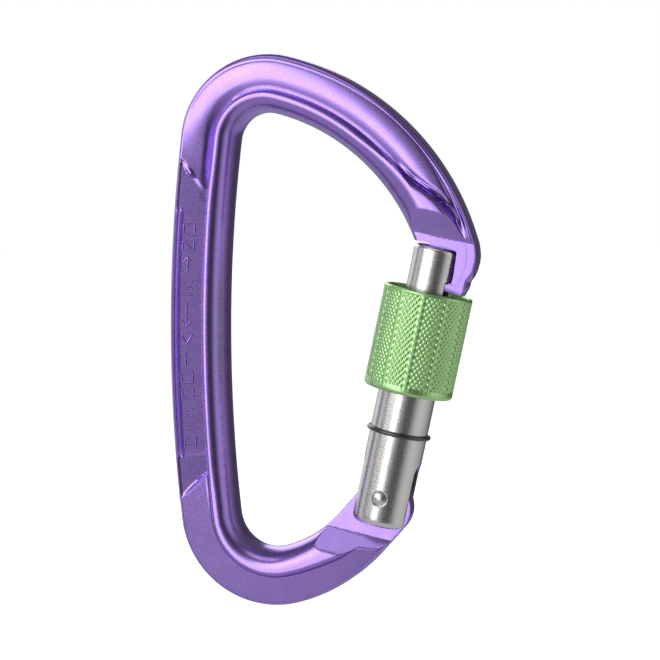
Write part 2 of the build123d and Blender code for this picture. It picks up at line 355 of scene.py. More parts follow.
def skin(rings):
    """Closed surface through rings of (x, z, half thickness), mirrored front to back."""
    count = len(rings[0][0])
    ring_size = 2 * count - 1
    points = []
    for x, z, half in rings:
        points.append(np.stack([x, -half, z], axis=1))
        points.append(np.stack([x, half, z], axis=1)[-2::-1])
    faces = []
    for i in range(len(rings) - 1):
        low, high = i * ring_size, (i + 1) * ring_size
        for k in range(ring_size):
            n = (k + 1) % ring_size
            faces.append((low + k, low + n, high + n, high + k))
    for start in (0, (len(rings) - 1) * ring_size):
        for k in range(count - 1):
            back, back_next = ring_size - 1 - k, ring_size - 2 - k
            if k == count - 2:
                faces.append((start + k, start + k + 1, start + back))
            else:
                faces.append((start + k, start + k + 1, start + back_next, start + back))
    return np.concatenate(points), faces


def plate(name, outline, low, high, upright=False):
    """A flat cutter: a closed outline in (u, w) from y = low to high, or upright in (y, w)."""
    n = len(outline)
    a, w = np.array(outline).T
    sides = [place(y, a, w) if upright else place(a, y, w) for y in (low, high)]
    points = np.concatenate(sides)
    faces = [tuple(range(n)), tuple(range(2 * n - 1, n - 1, -1))]
    faces += [(k, k + n, (k + 1) % n + n, (k + 1) % n) for k in range(n)]
    piece = make_piece(name, points, faces)
    face_outwards(piece)
    return piece


def disc(radius, u=0.0, w=0.0, sides=48, start=0.0, turn=2 * math.pi):
    """Points of a circle or of a part of one, in (u, w)."""
    angles = [start + turn * k / sides for k in range(sides)]
    return [(u + radius * math.cos(a), w + radius * math.sin(a)) for a in angles]


def cut(piece, *cutters, cut_face_slot=0):
    """Takes the cutters away from a piece; the new faces get the material slot given for cut faces."""
    for cutter in cutters:
        cutter.data.polygons.foreach_set("material_index", [cut_face_slot] * len(cutter.data.polygons))
        tool = piece.modifiers.new("cut", "BOOLEAN")
        tool.operation = "DIFFERENCE"
        tool.solver = "EXACT"
        tool.object = cutter
        tool.material_mode = "INDEX"
    whole = bpy.context.evaluated_depsgraph_get()
    mesh = bpy.data.meshes.new_from_object(piece.evaluated_get(whole))
    piece.modifiers.clear()
    old, piece.data = piece.data, mesh
    bpy.data.meshes.remove(old)
    mesh.name = piece.name
    for cutter in cutters:
        bpy.data.objects.remove(cutter)


def smooth(piece, angle):
    piece.data.polygons.foreach_set("use_smooth", [True] * len(piece.data.polygons))
    piece.data.set_sharp_from_angle(angle=math.radians(angle))


def linear(hex_colour):
    """An sRGB hex colour as linear RGBA."""
    values = [int(hex_colour[i:i + 2], 16) / 255 for i in (1, 3, 5)]
    return [v / 12.92 if v <= 0.04045 else ((v + 0.055) / 1.055) ** 2.4 for v in values] + [1.0]


def add_node(tree, kind, inputs=None, **settings):
    """Adds a node, sets its settings, and sets or links its inputs."""
    node = tree.nodes.new(kind)
    for name, value in settings.items():
        setattr(node, name, value)
    for name, value in (inputs or {}).items():
        if isinstance(value, bpy.types.NodeSocket):
            tree.links.new(value, node.inputs[name])
        else:
            node.inputs[name].default_value = value
    return node


def new_material(name):
    """An empty material and its node tree."""
    material = bpy.data.materials.new(name)
    material.use_nodes = True
    material.node_tree.nodes.clear()
    return material, material.node_tree


# Satin anodising over a tumbled forging: a dyed, slightly uneven metal that breaks bright
# reflections into a fine grain, with broad soft highlights that lean towards the dye's own colour.
def anodised(name, hex_colour, hex_pale, roughness, grain_mm, wave_mm):
    material, tree = new_material(name)
    spot = add_node(tree, "ShaderNodeTexCoord").outputs["Object"]
    grain = add_node(tree, "ShaderNodeTexNoise",
                     {"Vector": spot, "Scale": 1 / (grain_mm * MM), "Detail": 3.0, "Roughness": 0.6})
    wave = add_node(tree, "ShaderNodeTexNoise",
                    {"Vector": spot, "Scale": 1 / (wave_mm * MM), "Detail": 2.0, "Roughness": 0.5})
    tint = add_node(tree, "ShaderNodeMix",
                    {"Factor": wave.outputs["Fac"], 6: linear(hex_colour), 7: linear(hex_pale)},
                    data_type="RGBA")
    polish = add_node(tree, "ShaderNodeMapRange",
                      {"Value": grain.outputs["Fac"], "From Min": 0.3, "From Max": 0.7,
                       "To Min": roughness - 0.03, "To Max": roughness + 0.05})
    low = add_node(tree, "ShaderNodeBump",
                   {"Height": wave.outputs["Fac"], "Strength": 0.2, "Distance": 0.03 * MM})
    fine = add_node(tree, "ShaderNodeBump",
                    {"Height": grain.outputs["Fac"], "Strength": 0.13, "Distance": 0.02 * MM,
                     "Normal": low.outputs["Normal"]})
    metal = add_node(tree, "ShaderNodeBsdfPrincipled",
                     {"Base Color": tint.outputs[2], "Metallic": 1.0,
                      "Roughness": polish.outputs["Result"], "Normal": fine.outputs["Normal"]})
    add_node(tree, "ShaderNodeOutputMaterial", {"Surface": metal.outputs["BSDF"]})
    return material


purple_anodised = anodised("purple_anodised_forged_aluminium", "#977ACA", "#A386D4",
                           roughness=0.26, grain_mm=0.22, wave_mm=2.5)

forging = make_piece("forged_frame", *skin(frame_rings()))
face_outwards(forging, merge=0.000004)
below_shoulder = [(-clear_of_all, shoulder), (nose_left, shoulder), (nose_left, 30), (-clear_of_all, 30)]
web_corner = disc(1.0, 3.3, head_top + 1, sides=6, start=-math.pi / 2, turn=math.pi / 2)
web = [(-5.0, head_top), (3.3, head_top)] + web_corner
web += [(4.3, head_top + 1), (3.9, shoulder), (-5.0, shoulder)]
cut(forging,
    plate("shoulder_cut", below_shoulder, -clear_of_all, clear_of_all),
    plate("web_front_cut", web, -clear_of_all, -web_half),
    plate("web_back_cut", web, web_half, clear_of_all),
    plate("eye_cut", disc(eye_hole), -clear_of_all, clear_of_all))
smooth(forging, 32)
forging.data.materials.clear()
forging.data.materials.append(purple_anodised)
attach(forging, "root")
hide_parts("frame")

# ------------------------------------------------------------
# Marks. Shallow raised strokes that the forging die leaves in the recess on the spine, on both
# faces: bars, an arrow, an open box and a wedge. They are one metal with the frame.
# ------------------------------------------------------------
stroke_wide = 0.34
stroke_high = 0.28
marks_inner, marks_outer = 4.15, 2.15


def stroke_chain(face):
    """The strokes of one face, as pairs of end points in (t, s)."""
    wide = marks_inner - marks_outer
    middle = (marks_inner + marks_outer) / 2
    strokes = []

    def bar(t, low=marks_outer, high=marks_inner):
        strokes.append(((t, low), (t, high)))

    def box(t, length):
        bar(t)
        bar(t + length)
        strokes.append(((t, marks_outer), (t + length, marks_outer)))
        strokes.append(((t, marks_inner), (t + length, marks_inner)))

    def arrow(t, length, way):
        tip = t if way < 0 else t + length
        strokes.append(((t, middle), (t + length, middle)))
        for side in (-1, 1):
            strokes.append(((tip, middle), (tip - way * 0.9, middle + side * 0.7)))

    box(93.0, 1.9)
    box(96.1, 1.7)
    strokes.append(((96.1, marks_outer), (97.8, marks_inner)))
    arrow(99.0, 3.0, -1)
    for k in range(3):
        bar(103.6 + k * 1.15)
    arrow(107.4, 4.4, 1)
    bar(113.4)
    strokes.append(((113.4, marks_outer), (115.1, middle)))
    strokes.append(((115.1, middle), (113.4, marks_inner)))
    strokes.append(((116.6, middle - wide * 0.1), (119.0, middle - wide * 0.1)))
    for k in range(2):
        box(120.3 + k * 2.9, 1.9)
    for k in range(4):
        bar(127.2 + k * 1.15, marks_outer + 0.25 * (k % 2))
    box(132.3, 1.8)
    return strokes


def open_tree(name, inputs, result):
    """An empty geometry tree with its named inputs, and the node that gives them."""
    tree = bpy.data.node_groups.new(name, "GeometryNodeTree")
    tree.is_modifier = True
    for label, kind in inputs:
        tree.interface.new_socket(label, in_out="INPUT", socket_type="NodeSocket" + kind)
    tree.interface.new_socket(result, in_out="OUTPUT", socket_type="NodeSocketGeometry")
    return tree, add_node(tree, "NodeGroupInput")


def close_tree(tree, given, geometry, result):
    """Gives the geometry its metal, realizes it and sends it out."""
    metal = add_node(tree, "GeometryNodeSetMaterial",
                     {"Geometry": geometry, "Material": given.outputs["Metal"]})
    whole = add_node(tree, "GeometryNodeRealizeInstances", {"Geometry": metal.outputs["Geometry"]})
    add_node(tree, "NodeGroupOutput", {result: whole.outputs["Geometry"]})
    return tree


def wire_along(tree, curve, radius, sides):
    """A round wire along a curve, closed at its ends."""
    section = add_node(tree, "GeometryNodeCurvePrimitiveCircle", {"Resolution": sides, "Radius": radius})
    return add_node(tree, "GeometryNodeCurveToMesh",
                    {"Curve": curve, "Profile Curve": section.outputs["Curve"],
                     "Fill Caps": True}).outputs["Mesh"]


def stroke_tree():
    """Node tree that lays one rounded bar on every stroke of the marks."""
    tree, given = open_tree("die_strokes", (("Strokes", "Geometry"), ("Stroke Width", "Float"),
                                            ("Metal", "Material")), "Marks")
    lines = add_node(tree, "GeometryNodeMeshToCurve", {"Mesh": given.outputs["Strokes"]})
    half = add_node(tree, "ShaderNodeMath", {0: given.outputs["Stroke Width"], 1: 0.5},
                    operation="MULTIPLY")
    bars = wire_along(tree, lines.outputs["Curve"], half.outputs[0], 8)
    return close_tree(tree, given, bars, "Marks")


def set_inputs(modifier, **values):
    """Sets a modifier's inputs by the names of its tree's sockets, spaces written as underscores."""
    for item in modifier.node_group.interface.items_tree:
        key = item.name.replace(" ", "_")
        if item.in_out == "INPUT" and key in values:
            modifier[item.identifier] = values[key]


def grow(piece, tree, **values):
    """Runs a node tree on a piece and leaves the result as its plain mesh."""
    modifier = piece.modifiers.new(tree.name, "NODES")
    modifier.node_group = tree
    set_inputs(modifier, **values)
    whole = bpy.context.evaluated_depsgraph_get()
    mesh = bpy.data.meshes.new_from_object(piece.evaluated_get(whole))
    piece.modifiers.clear()
    old, piece.data = piece.data, mesh
    bpy.data.meshes.remove(old)
    mesh.name = piece.name


stroke_points, stroke_edges = [], []
for face in (-1, 1):
    for ends in stroke_chain(face):
        for t, s in ends:
            x, z, heading = outline_at(t)
            g = float(groove_line(t))
            half = float(forged_half(t, np.array([s]), g)[0])
            stroke_points.append((x - math.sin(heading) * s, face * (half + stroke_high - stroke_wide / 2),
                                  z + math.cos(heading) * s))
        stroke_edges.append((len(stroke_points) - 2, len(stroke_points) - 1))
marks = make_piece("die_marks", stroke_points, [])
marks.data.edges.add(len(stroke_edges))
marks.data.edges.foreach_set("vertices", np.array(stroke_edges).ravel())
marks.data.update()
grow(marks, stroke_tree(), Stroke_Width=stroke_wide * MM, Metal=purple_anodised)
face_outwards(marks)
smooth(marks, 50)
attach(marks, "root")

# ------------------------------------------------------------
# Gate barrel. Turned from aluminium bar: slotted at the foot for the tail, threaded at the middle
# for the sleeve, keyed at the top for the nose. Tumbled bright and left bare.
# ------------------------------------------------------------
barrel_radius = 5.2
neck_radius = 4.2
barrel_foot, barrel_top = -5.2, 46.0
foot_round, top_round = 1.3, 0.85
thread_from, thread_to = 20.0, 30.0
thread_pitch = 1.25
thread_deep = 0.35
thread_run_out = 0.6
ring_at = 11.9
ring_groove_half = 0.44
bore_radius = 3.0
bore_bottom, bore_top = 4.6, 27.0
slot_half, slot_straight = 2.2, 4.9
nose_slot_half = 1.5
pocket_half = 2.9
pocket_floor, pocket_top = 37.8, 40.15
pocket_left = -1.8
past_barrel = 9.0


def lean_over(tree, given, geometry):
    """Moves geometry made about +Z to its foot on the gate line, and leans it that way."""
    return add_node(tree, "GeometryNodeTransform",
                    {"Geometry": geometry, "Translation": given.outputs["Foot"],
                     "Rotation": given.outputs["Lean"]}).outputs["Geometry"]


def turned_tree(name, cut_pattern):
    """Node tree that turns a (radius, height) outline about the gate line, row by row.

    The outline's points carry a "depth" attribute: how deep the thread or the knurl bites there.
    """
    tree, given = open_tree(name, (("Outline", "Geometry"), ("Sides", "Int"), ("Pitch", "Float"),
                                   ("Foot", "Vector"), ("Lean", "Vector"), ("Metal", "Material")),
                            "Turned Part")
    size = add_node(tree, "GeometryNodeAttributeDomainSize", {"Geometry": given.outputs["Outline"]})
    rows = size.outputs["Point Count"]
    columns = add_node(tree, "ShaderNodeMath", {0: given.outputs["Sides"], 1: 1.0}, operation="ADD")
    grid = add_node(tree, "GeometryNodeMeshGrid",
                    {"Size X": 1.0, "Size Y": 1.0, "Vertices X": columns.outputs[0], "Vertices Y": rows})
    index = add_node(tree, "GeometryNodeInputIndex").outputs[0]
    row = add_node(tree, "ShaderNodeMath", {0: index, 1: rows}, operation="FLOORED_MODULO")
    column = add_node(tree, "ShaderNodeMath", {0: index, 1: rows}, operation="DIVIDE")
    column = add_node(tree, "ShaderNodeMath", {0: column.outputs[0]}, operation="FLOOR")
    part_turn = add_node(tree, "ShaderNodeMath", {0: column.outputs[0], 1: given.outputs["Sides"]},
                         operation="DIVIDE")
    place_at = add_node(tree, "GeometryNodeInputPosition").outputs[0]
    outline = add_node(tree, "GeometryNodeSampleIndex",
                       {"Geometry": given.outputs["Outline"], "Value": place_at, "Index": row.outputs[0]},
                       data_type="FLOAT_VECTOR")
    depth = add_node(tree, "GeometryNodeInputNamedAttribute", {"Name": "depth"}, data_type="FLOAT")
    depth = add_node(tree, "GeometryNodeSampleIndex",
                     {"Geometry": given.outputs["Outline"], "Value": depth.outputs["Attribute"],
                      "Index": row.outputs[0]}, data_type="FLOAT")
    axes = add_node(tree, "ShaderNodeSeparateXYZ", {0: outline.outputs["Value"]})
    radius, height = axes.outputs["X"], axes.outputs["Z"]
    bite = cut_pattern(tree, part_turn.outputs[0], height, given.outputs["Pitch"])
    taken = add_node(tree, "ShaderNodeMath", {0: depth.outputs["Value"], 1: bite},
                     operation="MULTIPLY")
    radius = add_node(tree, "ShaderNodeMath", {0: radius, 1: taken.outputs[0]}, operation="SUBTRACT")
    angle = add_node(tree, "ShaderNodeMath", {0: part_turn.outputs[0], 1: 2 * math.pi},
                     operation="MULTIPLY")
    sine = add_node(tree, "ShaderNodeMath", {0: angle.outputs[0]}, operation="SINE")
    cosine = add_node(tree, "ShaderNodeMath", {0: angle.outputs[0]}, operation="COSINE")
    east = add_node(tree, "ShaderNodeMath", {0: sine.outputs[0], 1: radius.outputs[0]},
                    operation="MULTIPLY")
    north = add_node(tree, "ShaderNodeMath", {0: cosine.outputs[0], 1: radius.outputs[0]},
                     operation="MULTIPLY")
    north = add_node(tree, "ShaderNodeMath", {0: north.outputs[0], 1: -1.0}, operation="MULTIPLY")
    point = add_node(tree, "ShaderNodeCombineXYZ",
                     {"X": east.outputs[0], "Y": north.outputs[0], "Z": height})
    surface = add_node(tree, "GeometryNodeSetPosition",
                       {"Geometry": grid.outputs["Mesh"], "Position": point.outputs[0]})
    closed = add_node(tree, "GeometryNodeMergeByDistance",
                      {"Geometry": surface.outputs["Geometry"], "Distance": 0.002 * MM})
    return close_tree(tree, given, lean_over(tree, given, closed.outputs["Geometry"]), "Turned Part")


def screw_thread(tree, part_turn, height, pitch):
    """Bite of a V thread: 1 at its root and 0 at its crest, winding once per pitch."""
    turns = add_node(tree, "ShaderNodeMath", {0: height, 1: pitch}, operation="DIVIDE")
    wound = add_node(tree, "ShaderNodeMath", {0: turns.outputs[0], 1: part_turn}, operation="SUBTRACT")
    wave = add_node(tree, "ShaderNodeMath", {0: wound.outputs[0], 1: 0.5}, operation="PINGPONG")
    return add_node(tree, "ShaderNodeMath", {0: wave.outputs[0], 1: 2.0},
                    operation="MULTIPLY").outputs[0]


def turned_outline(corners, step, depth_at):
    """Points along a (radius, height) outline, no further apart than a step, with their depth."""
    spots = []
    for (r0, h0), (r1, h1) in zip(corners, corners[1:]):
        length = math.hypot(r1 - r0, h1 - h0)
        count = max(1, math.ceil(length / step(h0, h1)))
        spots += [(r0 + (r1 - r0) * k / count, h0 + (h1 - h0) * k / count) for k in range(count)]
    spots.append(corners[-1])
    return spots, [depth_at(r, h) for r, h in spots]


def turn(name, corners, tree, metal, sides, pitch=1.0, step=lambda low, high: 50.0,
         depth_at=lambda radius, height: 0.0):
    """A turned piece on the gate line from its outline in millimetres."""
    spots, depths = turned_outline(corners, step, depth_at)
    piece = make_piece(name, [(r, 0, h) for r, h in spots], [])
    depth = piece.data.attributes.new("depth", "FLOAT", "POINT")
    depth.data.foreach_set("value", [d * MM for d in depths])
    grow(piece, tree, Sides=sides, Pitch=pitch * MM, Foot=tuple(hinge * MM), Lean=(0.0, lean, 0.0),
         Metal=metal)
    face_outwards(piece)
    return piece


def arc_points(centre, radius, start, end, count):
    """Points of a circular arc in (radius, height), angles in degrees."""
    angles = [math.radians(start + (end - start) * k / count) for k in range(count + 1)]
    return [(centre[0] + radius * math.cos(a), centre[1] + radius * math.sin(a)) for a in angles]


# Bare tumbled aluminium: neutral silver with a soft grain that roughens the edge of every
# reflection, and faint turning lines round the barrel.
def bare_aluminium():
    material, tree = new_material("tumbled_bare_aluminium")
    spot = add_node(tree, "ShaderNodeTexCoord").outputs["Object"]
    grain = add_node(tree, "ShaderNodeTexNoise",
                     {"Vector": spot, "Scale": 1 / (0.28 * MM), "Detail": 4.0, "Roughness": 0.65})
    round_axis = add_node(tree, "ShaderNodeMapping",
                          {"Vector": spot, "Rotation": (0.0, -lean, 0.0), "Scale": (0.06, 0.06, 1.0)})
    lines = add_node(tree, "ShaderNodeTexNoise",
                     {"Vector": round_axis.outputs[0], "Scale": 1 / (0.16 * MM), "Detail": 2.0})
    polish = add_node(tree, "ShaderNodeMapRange",
                      {"Value": grain.outputs["Fac"], "From Min": 0.3, "From Max": 0.7,
                       "To Min": 0.20, "To Max": 0.34})
    turned = add_node(tree, "ShaderNodeBump",
                      {"Height": lines.outputs["Fac"], "Strength": 0.2, "Distance": 0.02 * MM})
    tumbled = add_node(tree, "ShaderNodeBump",
                       {"Height": grain.outputs["Fac"], "Strength": 0.5, "Distance": 0.03 * MM,
                        "Normal": turned.outputs["Normal"]})
    metal = add_node(tree, "ShaderNodeBsdfPrincipled",
                     {"Base Color": linear("#D2D0CE"), "Metallic": 1.0,
                      "Roughness": polish.outputs["Result"], "Normal": tumbled.outputs["Normal"]})
    add_node(tree, "ShaderNodeOutputMaterial", {"Surface": metal.outputs["BSDF"]})
    return material


silver = bare_aluminium()
plain_turning = turned_tree("turned_with_thread", screw_thread)

foot_centre = (barrel_radius - foot_round, barrel_foot + foot_round)
top_centre = (neck_radius - top_round, barrel_top - top_round)
above_ring = ring_at + ring_groove_half
barrel_line = [(0, barrel_foot)] + arc_points(foot_centre, foot_round, -90, 0, 8)
barrel_line += [(barrel_radius, ring_at - ring_groove_half), (barrel_radius - 0.05, ring_at - 0.4),
                (barrel_radius - 0.18, ring_at - 0.38), (barrel_radius - 0.18, ring_at + 0.38),
                (barrel_radius - 0.05, ring_at + 0.4), (barrel_radius, above_ring)]
barrel_line += [(barrel_radius, thread_to), (neck_radius, thread_to + 1), (neck_radius, barrel_top - 0.9)]
barrel_line += arc_points(top_centre, top_round, 0, 90, 8) + [(0, barrel_top)]


def thread_depth(radius, height):
    """Depth of the thread, which runs out to nothing at both of its ends."""
    if radius < barrel_radius - 0.1 or not thread_from < height < thread_to:
        return 0.0
    from_end = min(height - thread_from, thread_to - height)
    return thread_deep * min(1, from_end / thread_run_out)


def barrel_step(low, high):
    """Rows of the barrel stand close together where the thread is."""
    return 0.16 if low >= above_ring and high <= thread_to else 0.6


barrel = turn("gate_barrel_body", barrel_line, plain_turning, silver, 160, thread_pitch, barrel_step,
              thread_depth)


# Inside its cuts the aluminium is as the mill left it, duller because tumbling stones don't reach in
# there.
# Its darker colour is painted shade: the shadow that falls inside the slots, the pocket and the bore.
def cut_face_metal_with_painted_shade():
    material, tree = new_material("milled_dull_aluminium")
    metal = add_node(tree, "ShaderNodeBsdfPrincipled",
                     {"Base Color": linear("#7C7977"), "Metallic": 1.0, "Roughness": 0.5})
    add_node(tree, "ShaderNodeOutputMaterial", {"Surface": metal.outputs["BSDF"]})
    return material


# Slot 1 is for the cut faces: its darker colour paints the shade inside the slots, pocket and bore.
barrel.data.materials.append(cut_face_metal_with_painted_shade())
below_barrel = barrel_foot - 3
above_barrel = barrel_top + 2
tail_slot = [(-slot_half, below_barrel), (slot_half, below_barrel)]
tail_slot += disc(slot_half, 0, slot_straight, sides=24, turn=math.pi) + [(-slot_half, slot_straight)]
nose_slot = [(-nose_slot_half, pocket_floor), (nose_slot_half, pocket_floor),
             (nose_slot_half, above_barrel), (-nose_slot_half, above_barrel)]
head_pocket = [(-pocket_half, pocket_floor), (pocket_half, pocket_floor),
               (pocket_half, pocket_top), (-pocket_half, pocket_top)]
bore = [(0, bore_bottom), (bore_radius, bore_bottom), (bore_radius, bore_top - 1.5), (0, bore_top)]


def turned_on_hinge(name, line, low, high, sides=48):
    """A piece turned about the hinge from (radius, y) points, closed by poles at y = low and high."""
    angle = np.arange(sides) * 2 * math.pi / sides
    points = [place(radius * np.cos(angle), y, radius * np.sin(angle)) for radius, y in line]
    points.append(place(np.zeros(2), np.array([low, high]), np.zeros(2)))
    faces = []
    for i in range(len(line) - 1):
        a, b = i * sides, (i + 1) * sides
        faces += [(a + k, a + (k + 1) % sides, b + (k + 1) % sides, b + k) for k in range(sides)]
    last, pole = (len(line) - 1) * sides, len(line) * sides
    faces += [(pole, (k + 1) % sides, k) for k in range(sides)]
    faces += [(pole + 1, last + k, last + (k + 1) % sides) for k in range(sides)]
    piece = make_piece(name, np.concatenate(points), faces)
    face_outwards(piece)
    return piece


def dimple(name, side):
    """Hole for the rivet with a shallow countersink for one of its heads."""
    rings = ((1.15, 0.0), (1.15, 4.78), (1.25, 4.8), (1.42, 4.9), (1.54, 5.02), (1.6, 7.0))
    line = [(radius, side * y) for radius, y in rings]
    return turned_on_hinge(name, line, line[0][1], line[-1][1])


# The cut faces take slot 1, whose darker colour is painted shade inside the cuts.
cut(barrel,
    plate("tail_slot_cut", tail_slot, -past_barrel, past_barrel, upright=True),
    plate("nose_slot_cut", nose_slot, pocket_left, past_barrel, upright=True),
    plate("head_pocket_cut", head_pocket, pocket_left, past_barrel, upright=True),
    turn("bore_cut", bore, plain_turning, silver, 48),
    dimple("front_dimple_cut", -1),
    dimple("back_dimple_cut", 1),
    cut_face_slot=1)
smooth(barrel, 35)
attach(barrel, "gate")
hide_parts("gate_barrel")

# ------------------------------------------------------------
# Hinge rivet. Stainless steel pin through the barrel and the tail, its ends pressed into low domes
# that sit in the countersinks.
# ------------------------------------------------------------
rivet_radius = 1.2
dome_radius = 2.2
dome_rise = dome_radius - math.sqrt(dome_radius ** 2 - rivet_radius ** 2)
rivet_half = 4.85


# Polished stainless: darker and cooler than the aluminium, with sharper reflections.
def polished_steel(name, hex_colour, roughness):
    material, tree = new_material(name)
    spot = add_node(tree, "ShaderNodeTexCoord").outputs["Object"]
    wear = add_node(tree, "ShaderNodeTexNoise",
                    {"Vector": spot, "Scale": 1 / (0.35 * MM), "Detail": 3.0})
    polish = add_node(tree, "ShaderNodeMapRange",
                      {"Value": wear.outputs["Fac"], "From Min": 0.3, "From Max": 0.7,
                       "To Min": roughness - 0.05, "To Max": roughness + 0.08})
    worn = add_node(tree, "ShaderNodeBump",
                    {"Height": wear.outputs["Fac"], "Strength": 0.2, "Distance": 0.02 * MM})
    metal = add_node(tree, "ShaderNodeBsdfPrincipled",
                     {"Base Color": linear(hex_colour), "Metallic": 1.0,
                      "Roughness": polish.outputs["Result"], "Normal": worn.outputs["Normal"]})
    add_node(tree, "ShaderNodeOutputMaterial", {"Surface": metal.outputs["BSDF"]})
    return material


rivet_steel = polished_steel("polished_stainless_steel", "#D4D3D1", 0.28)
head = arc_points((0, rivet_half + dome_rise - dome_radius), dome_radius,
                  math.degrees(math.acos(rivet_radius / dome_radius)), 90, 8)[:-1]
shank = [(rivet_radius, y) for y in (-3.0, 0.0, 3.0)]
rivet_line = [(radius, -y) for radius, y in reversed(head)] + shank + head
rivet = turned_on_hinge("hinge_rivet_pin", rivet_line, -rivet_half - dome_rise, rivet_half + dome_rise)
smooth(rivet, 40)
rivet.data.materials.append(rivet_steel)
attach(rivet, "gate")
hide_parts("hinge_rivet")

# ------------------------------------------------------------
# Plunger. A turned brass follower in the barrel's bore: its domed stem rides on the tail's cam. It
# keeps the CAD shape, which is already a plain turned part.
# ------------------------------------------------------------
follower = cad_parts["plunger"]
follower.data.materials.clear()
follower.data.materials.append(polished_steel("turned_brass", "#C9A256", 0.25))

# ------------------------------------------------------------
# Gate spring. Steel wire wound into a coil behind the plunger, which the opening gate pushes up the bore;
# the coil is drawn at one fixed length.
# ------------------------------------------------------------
spring_foot, spring_head = 9.35, 25.2
spring_mean = 2.3
spring_wire = 0.3
spring_pitch = 1.8
spring_points_per_turn = 24


def coil_tree():
    """Node tree that winds a round wire into a coil along the gate line."""
    tree, given = open_tree("wound_coil", (("Start", "Geometry"), ("Turns", "Float"),
                                           ("Coil Radius", "Float"), ("Coil Length", "Float"),
                                           ("Wire Radius", "Float"), ("Foot", "Vector"),
                                           ("Lean", "Vector"), ("Metal", "Material")), "Coil")
    winding = add_node(tree, "GeometryNodeCurveSpiral",
                       {"Resolution": spring_points_per_turn, "Rotations": given.outputs["Turns"],
                        "Start Radius": given.outputs["Coil Radius"],
                        "End Radius": given.outputs["Coil Radius"],
                        "Height": given.outputs["Coil Length"]})
    wire = wire_along(tree, winding.outputs["Curve"], given.outputs["Wire Radius"], 12)
    return close_tree(tree, given, lean_over(tree, given, wire), "Coil")


spring_steel = polished_steel("drawn_spring_steel", "#8E8C89", 0.28)
spring_length = spring_head - spring_foot
spring = make_piece("gate_spring_coil", [(0, 0, 0)], [])
grow(spring, coil_tree(), Turns=spring_length / spring_pitch, Coil_Radius=spring_mean * MM,
     Coil_Length=spring_length * MM, Wire_Radius=spring_wire * MM,
     Foot=tuple(place(0, 0, spring_foot).ravel() * MM), Lean=(0.0, lean, 0.0), Metal=spring_steel)
face_outwards(spring)
smooth(spring, 50)
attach(spring, "gate")
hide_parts("gate_spring")
tuple(place(0, 0, spring_head + spring_wire).ravel() * MM)
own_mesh(spring)

# ------------------------------------------------------------
# Stop ring. A turn of dark spring-steel wire snapped into a groove of the barrel, open at the
# back, which stops the sleeve from unscrewing any further.
# ------------------------------------------------------------
ring_mean = 5.43
ring_wire = 0.41
ring_turn = 350.0


def wire_ring_tree():
    """Node tree that bends a round wire into an open ring across the gate line."""
    tree, given = open_tree("open_wire_ring", (("Start", "Geometry"), ("Ring Radius", "Float"),
                                               ("Wire Radius", "Float"), ("Turn", "Float"),
                                               ("Foot", "Vector"), ("Lean", "Vector"),
                                               ("Metal", "Material")), "Ring")
    start = math.radians(90 + (360 - ring_turn) / 2)
    bend = add_node(tree, "GeometryNodeCurveArc",
                    {"Resolution": 160, "Radius": given.outputs["Ring Radius"], "Start Angle": start,
                     "Sweep Angle": given.outputs["Turn"]})
    wire = wire_along(tree, bend.outputs["Curve"], given.outputs["Wire Radius"], 20)
    return close_tree(tree, given, lean_over(tree, given, wire), "Ring")


ring_steel = polished_steel("blackened_spring_steel", "#5E5C5A", 0.3)
ring = make_piece("stop_ring_wire", [(0, 0, 0)], [])
grow(ring, wire_ring_tree(), Ring_Radius=ring_mean * MM, Wire_Radius=ring_wire * MM,
     Turn=math.radians(ring_turn), Foot=tuple(place(0, 0, ring_at).ravel() * MM),
     Lean=(0.0, lean, 0.0), Metal=ring_steel)
face_outwards(ring)
smooth(ring, 50)
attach(ring, "gate")
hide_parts("stop_ring")

# ------------------------------------------------------------
# Screw sleeve. Turned aluminium with a diamond knurl broken by twelve smooth lengthwise ribs, a
# plain lip at the foot and a bright rim at the mouth. Anodised green. Its inner thread is not drawn.
# ------------------------------------------------------------
sleeve_foot, sleeve_rim = 19.4, 37.9
sleeve_radius = 8.04
sleeve_bore = 5.32
sleeve_mouth = 7.25
mouth_floor = 30.6
knurl_round = 60
knurl_pitch = 1.2
knurl_depth = 0.20
rib_count = 12
rib_first = 6.0
rib_half_angle = 2.1
lip_round, rim_round = 0.7, 0.25
mouth_edge = 0.15


def diamond_knurl(tree, part_turn, height, pitch):
    """Bite of a diamond knurl, 0 on its flats and on the ribs, 1 at the bottom of its V grooves."""
    round_count = add_node(tree, "ShaderNodeMath", {0: part_turn, 1: float(knurl_round)},
                           operation="MULTIPLY")
    lengths = add_node(tree, "ShaderNodeMath", {0: height, 1: pitch}, operation="DIVIDE")
    bites = []
    for way in ("ADD", "SUBTRACT"):
        slant = add_node(tree, "ShaderNodeMath", {0: round_count.outputs[0], 1: lengths.outputs[0]},
                         operation=way)
        wave = add_node(tree, "ShaderNodeMath", {0: slant.outputs[0], 1: 0.5}, operation="PINGPONG")
        bite = add_node(tree, "ShaderNodeMath", {0: wave.outputs[0], 1: 2.0}, operation="MULTIPLY")
        bites.append(bite.outputs[0])
    crest = add_node(tree, "ShaderNodeMath", {0: bites[0], 1: bites[1]}, operation="MINIMUM")
    worn = add_node(tree, "ShaderNodeMapRange",
                    {"Value": crest.outputs[0], "From Min": 0.0, "From Max": 0.75,
                     "To Min": 1.0, "To Max": 0.15})
    turned = add_node(tree, "ShaderNodeMath", {0: part_turn, 1: rib_first / 360}, operation="SUBTRACT")
    ribs = add_node(tree, "ShaderNodeMath", {0: turned.outputs[0], 1: float(rib_count)},
                    operation="MULTIPLY")
    from_rib = add_node(tree, "ShaderNodeMath", {0: ribs.outputs[0], 1: 0.5}, operation="PINGPONG")
    share = rib_half_angle * rib_count / 360
    off_rib = add_node(tree, "ShaderNodeMapRange",
                       {"Value": from_rib.outputs[0], "From Min": share * 0.75,
                        "From Max": share * 1.3, "To Min": 0.0, "To Max": 1.0})
    return add_node(tree, "ShaderNodeMath", {0: worn.outputs["Result"], 1: off_rib.outputs["Result"]},
                    operation="MULTIPLY").outputs[0]


